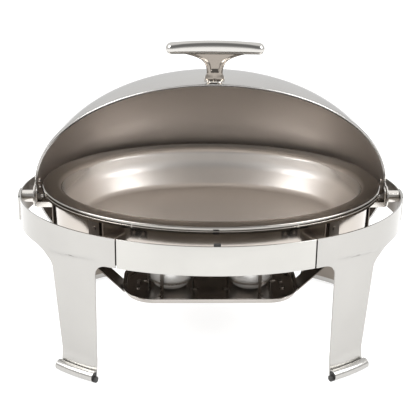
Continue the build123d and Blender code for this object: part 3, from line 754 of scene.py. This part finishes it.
CUP = 35 * MM
for side, name in ((-1, "left"), (1, "right")):
    base, top = cup_low.z, cup_high.z
    middle = side * (cup_low.x + cup_high.x) / 2
    corners = [
        (0.5 * MM, base, 0), (CUP, base, 21.5 * MM), (CUP, top, 0.5 * MM), (CUP - 1 * MM, top, 0.45 * MM),
        (CUP - 1 * MM, base + 1 * MM, 20.5 * MM), (0.5 * MM, base + 1 * MM, 0),
    ]
    lathe(
        f"{name}_fuel_cup_wall", (middle, 0), rounded(corners, 12, closed=False), 96,
        f"{name}_fuel_cup", [cup_steel], [f"{name}_fuel_cup"],
    )
    lug = rounded([
        (middle - 4.5 * MM, CUP - 0.4 * MM, 0), (middle + 4.5 * MM, CUP - 0.4 * MM, 0),
        (middle + 4.5 * MM, cup_high.y, 3 * MM), (middle - 4.5 * MM, cup_high.y, 3 * MM),
    ])
    plate(
        f"{name}_fuel_cup_lug", lug, top - 1.5 * MM, top, f"{name}_fuel_cup", cup_steel
    )

# ---- materials of the small hardware ----
dress(black_rubber, *(f"{e}_{s}_glide" for e in ("front", "rear") for s in ("left", "right")))
dress(black_rubber, "band_bumper")
dress(bright_part, "handle_collar", "handle_screw", "handle_washer", "lid_ear_rivets")
# the seam plates take the near-black painted-shade steel
dress(seam_plate_shade_steel, *(f"{e}_{s}_seam_plate" for e in ("front", "rear") for s in ("left", "right")))
dress(dull_steel, "pivot_nuts", "strap_rivets", "support_screws", "seam_screws")
dress(dull_steel, "tray_nuts", "tray_screws", "pivot_washers", "pan_ring")
dress(cage_steel, "cage_rivets")
for s in ("left", "right"):
    dress(bright_part, f"{s}_pivot_spacer", f"{s}_pivot_bolt", f"{s}_stop_pin", f"{s}_cover_pin")
    dress(leg_steel, f"{s}_pivot_plate")
    dress(bright_part, f"{s}_pivot_bracket", f"{s}_lid_ear")
    dress(dull_steel, f"{s}_support_bracket")
    # the tray straps take the dark inner steel, which is partly painted shade
    dress(inner_side_shaded_steel, f"{s}_tray_strap")
    dress(cage_steel, f"{s}_burner_cage")
    dress(cup_steel, f"{s}_snuffer_cover")


# ---- the studio ----
FLOOR_GLOW = 0.78
DARK_SIDE = (0, -0.77, 0.64)      # the studio is unlit in this direction


def studio_floor():
    """A wide pale floor, lit a little from within as a light table is."""
    material, nodes, links, shader = node_material("pale_floor")
    place = add_node(nodes, "ShaderNodeTexCoord")
    grain = add_node(nodes, "ShaderNodeTexNoise", Scale=3.0, Detail=3.0)
    links.new(place.outputs["Object"], grain.inputs["Vector"])
    tone = ramp(nodes, links, grain.outputs["Fac"], ((0.3, (0.44,)), (0.7, (0.46,))))
    links.new(tone, shader.inputs["Base Color"])
    shader.inputs["Roughness"].default_value = 0.9
    shader.inputs["Specular IOR Level"].default_value = 0.1
    shader.inputs["Emission Color"].default_value = (1, 1, 1, 1)
    shader.inputs["Emission Strength"].default_value = FLOOR_GLOW
    mesh = bpy.data.meshes.new("studio_floor")
    size, parts = 14.0, 8
    points = [
        (-size / 2 + size * i / parts, -size / 2 + size * j / parts, -0.0004)
        for j in range(parts + 1) for i in range(parts + 1)
    ]
    mesh.from_pydata(points, [], loop_faces(parts + 1, parts + 1, False, False))
    mesh.materials.append(material)
    floor = bpy.data.objects.new("studio_floor", mesh)
    bpy.context.scene.collection.objects.link(floor)


def studio_world():
    """Soft white surroundings, brighter overhead and dark towards the upper front."""
    world = bpy.data.worlds.new("studio")
    world.use_nodes = True
    nodes, links = world.node_tree.nodes, world.node_tree.links
    background = nodes["Background"]
    place = add_node(nodes, "ShaderNodeTexCoord")
    split = add_node(nodes, "ShaderNodeSeparateXYZ")
    links.new(place.outputs["Generated"], split.inputs["Vector"])
    height = ramp(
        nodes, links, split.outputs["Z"],
        ((0.0, (0.80,)), (0.12, (0.90,)), (0.35, (1.05,)), (0.62, (1.15,)), (1.0, (1.20,))),
    )
    toward = add_node(nodes, "ShaderNodeVectorMath", {"operation": "DOT_PRODUCT"})
    toward.inputs[1].default_value = DARK_SIDE
    links.new(place.outputs["Generated"], toward.inputs[0])
    front = ramp(nodes, links, toward.outputs["Value"], ((0.70, (1.0,)), (0.95, (0.24,))))
    shade = add_node(nodes, "ShaderNodeMix", {"data_type": "RGBA", "blend_type": "MULTIPLY"})
    shade.inputs["Factor"].default_value = 1.0
    links.new(height, shade.inputs["A"])
    links.new(front, shade.inputs["B"])
    links.new(shade.outputs["Result"], background.inputs["Color"])
    background.inputs["Strength"].default_value = 1.0
    bpy.context.scene.world = world


def soft_light(name, place, target, size, power):
    light = bpy.data.lights.new(name, "AREA")
    light.shape = "RECTANGLE"
    light.size, light.size_y = size
    light.energy = power
    lamp = bpy.data.objects.new(name, light)
    lamp.location = place
    lamp.rotation_euler = (Vector(target) - Vector(place)).to_track_quat("-Z", "Y").to_euler()
    bpy.context.scene.collection.objects.link(lamp)


studio_floor()
studio_world()
soft_light("left_light", (-1.7, -0.75, 1.9), (0, 0, 0.2), (1.5, 1.5), 62)
soft_light("right_light", (1.7, -0.75, 1.9), (0, 0, 0.2), (1.5, 1.5), 62)


# ---- the camera ----
TILT, TURN, ROLL_ANGLE = radians(21.9), radians(2.4), radians(-0.95)
DISTANCE = 1.700
SIDE_SHIFT, UP_SHIFT = 2.5 * MM, 22.5 * MM
LENS = 1060 / 420 * 36
right = Vector((cos(TURN), -sin(TURN), 0))
up = Vector((sin(TURN) * sin(TILT), cos(TURN) * sin(TILT), cos(TILT)))
ahead = Vector((sin(TURN) * cos(TILT), cos(TURN) * cos(TILT), -sin(TILT)))
right, up = (
    right * cos(ROLL_ANGLE) - up * sin(ROLL_ANGLE), right * sin(ROLL_ANGLE) + up * cos(ROLL_ANGLE),
)
camera_data = bpy.data.cameras.new("camera")
camera_data.lens = LENS
camera_data.sensor_width = 36
camera = bpy.data.objects.new("camera", camera_data)
place = pivot - right * SIDE_SHIFT - up * UP_SHIFT - ahead * DISTANCE
camera.matrix_world = Matrix((
    (right.x, up.x, -ahead.x, place.x),
    (right.y, up.y, -ahead.y, place.y),
    (right.z, up.z, -ahead.z, place.z),
    (0, 0, 0, 1),
))
bpy.context.scene.collection.objects.link(camera)
bpy.context.scene.camera = camera
bpy.context.scene.view_settings.view_transform = "Standard"
